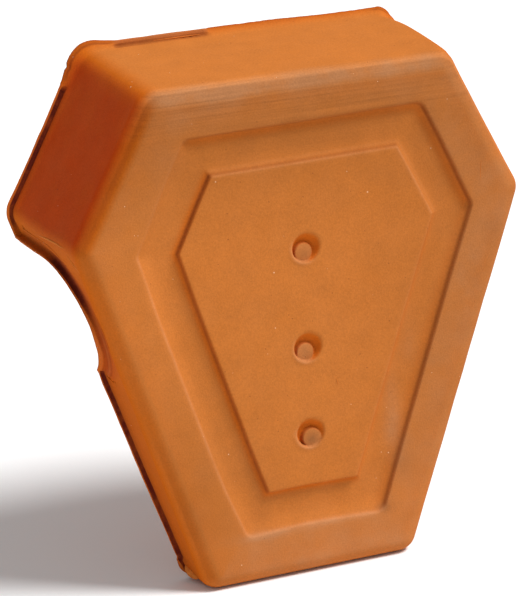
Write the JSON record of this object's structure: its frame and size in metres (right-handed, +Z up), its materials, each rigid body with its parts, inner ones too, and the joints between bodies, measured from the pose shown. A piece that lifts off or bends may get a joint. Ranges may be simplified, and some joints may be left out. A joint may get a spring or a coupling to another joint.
{
  "type": "verge end tile",
  "caption": "Open-backed fired-clay end tile that caps a roof verge: hexagonal front with a sunk field, a raised panel and round dimples, deep skirt notched on its lower sides.",
  "frame": {"origin": "middle of the foot, halfway between the front face and the back rim, on the plane that the foot stands on", "axes": "+Z up towards the wide top edge, -Y out of the decorated front, +Y towards the open back, +X to the right as seen from the front"},
  "size_m": [0.3268, 0.107, 0.3488],
  "materials": {
    "fired_clay": "matte"
  },
  "bodies": {
    "root": {"clay_end_tile": "fired_clay"}
  },
  "joints": []
}
